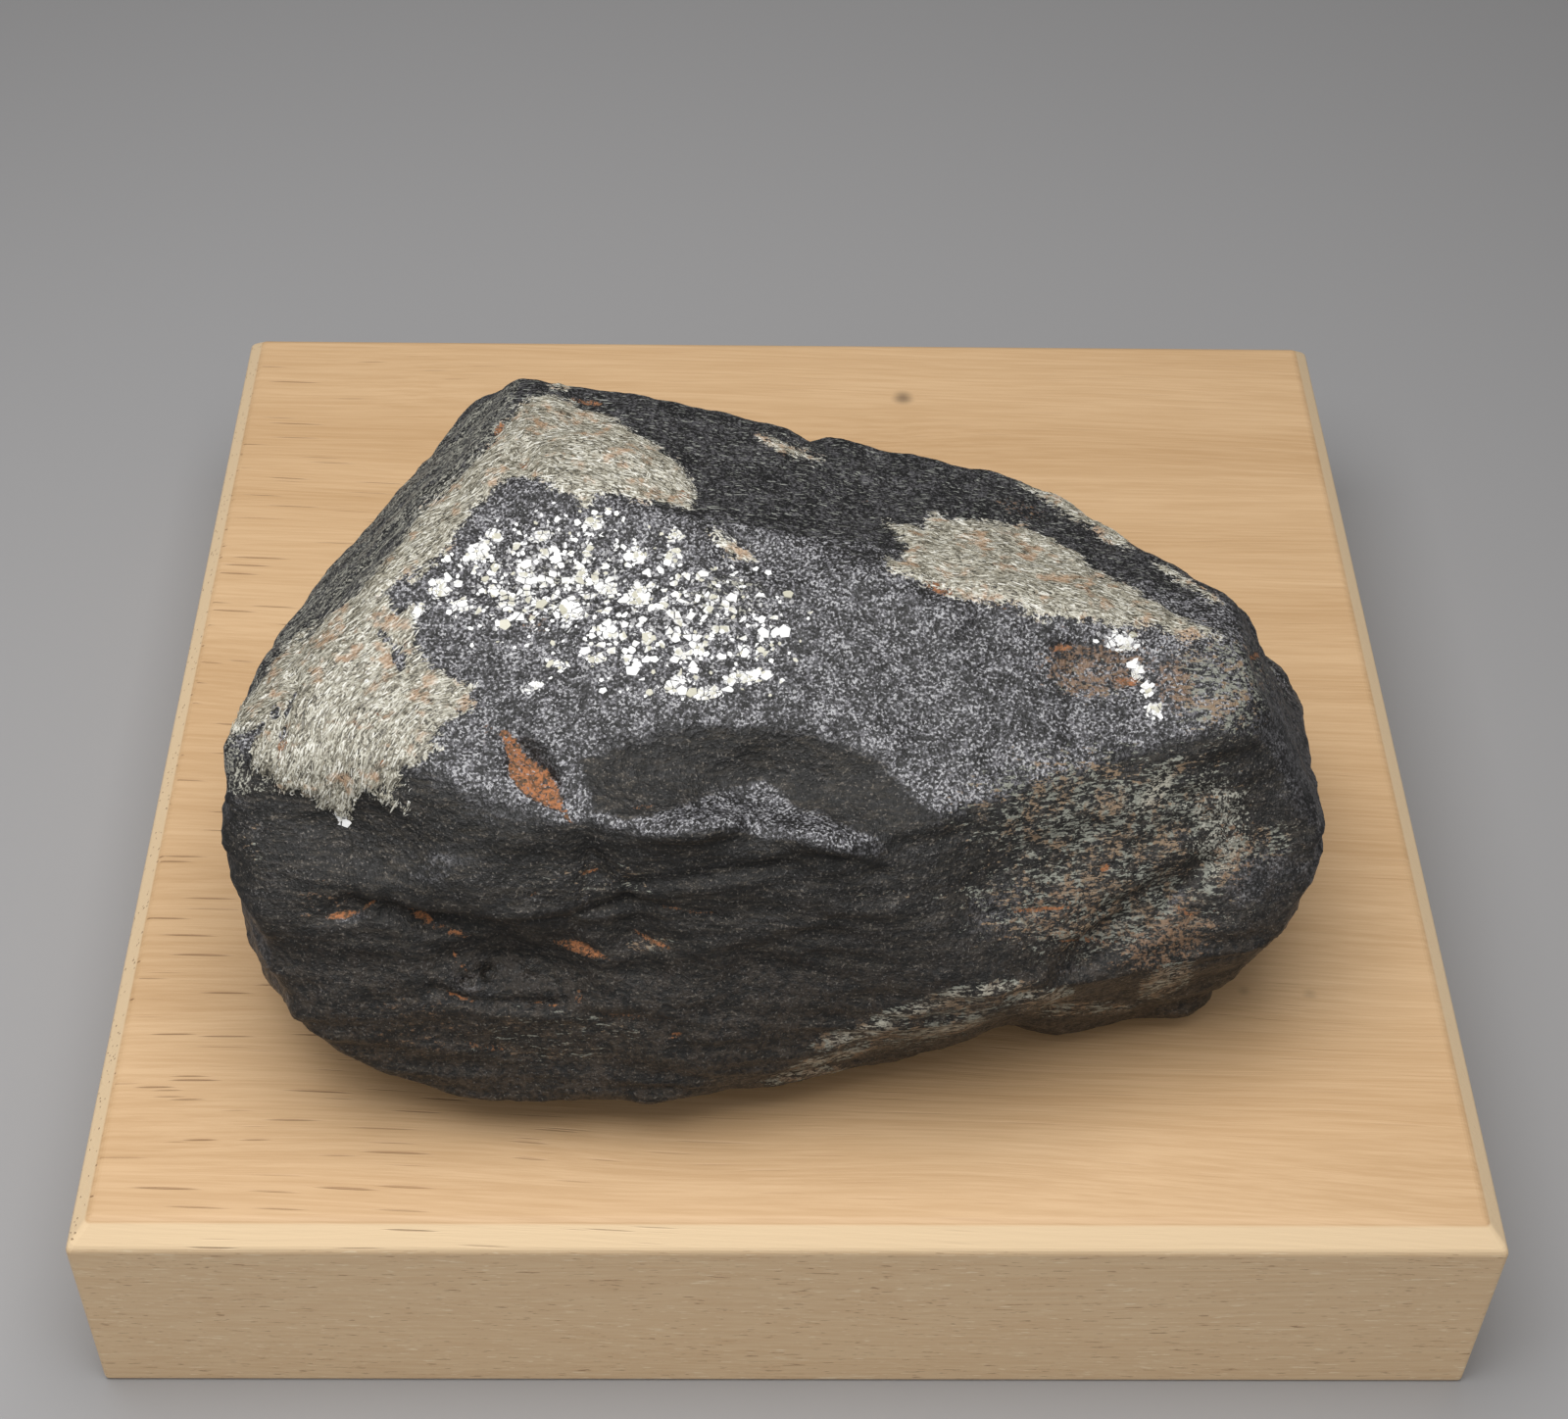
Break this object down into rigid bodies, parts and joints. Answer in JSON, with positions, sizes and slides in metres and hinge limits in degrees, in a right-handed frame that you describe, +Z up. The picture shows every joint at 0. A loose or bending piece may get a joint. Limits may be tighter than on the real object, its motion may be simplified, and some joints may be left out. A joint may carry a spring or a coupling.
{
  "type": "struverite rutile specimen",
  "caption": "Rough dark ore stone with flat cleavage faces, worn edges and pale mica patches, lying on a square wooden stand with chamfered top edges.",
  "frame": {"origin": "centre of the stand's underside", "axes": "+Z up, +X to the right along the wood's grain and the stone's length, -Y towards the stone's front"},
  "size_m": [0.1016, 0.1016, 0.0531],
  "materials": {
    "stand_wood": "planed and clear coated, with fine grain along X",
    "ore_stone": "dark semi-metallic ore with pale mica sheets, white flakes and rust-brown spots"
  },
  "bodies": {
    "root": {"wooden_stand": "stand_wood", "struverite_stone": "ore_stone"}
  },
  "joints": []
}
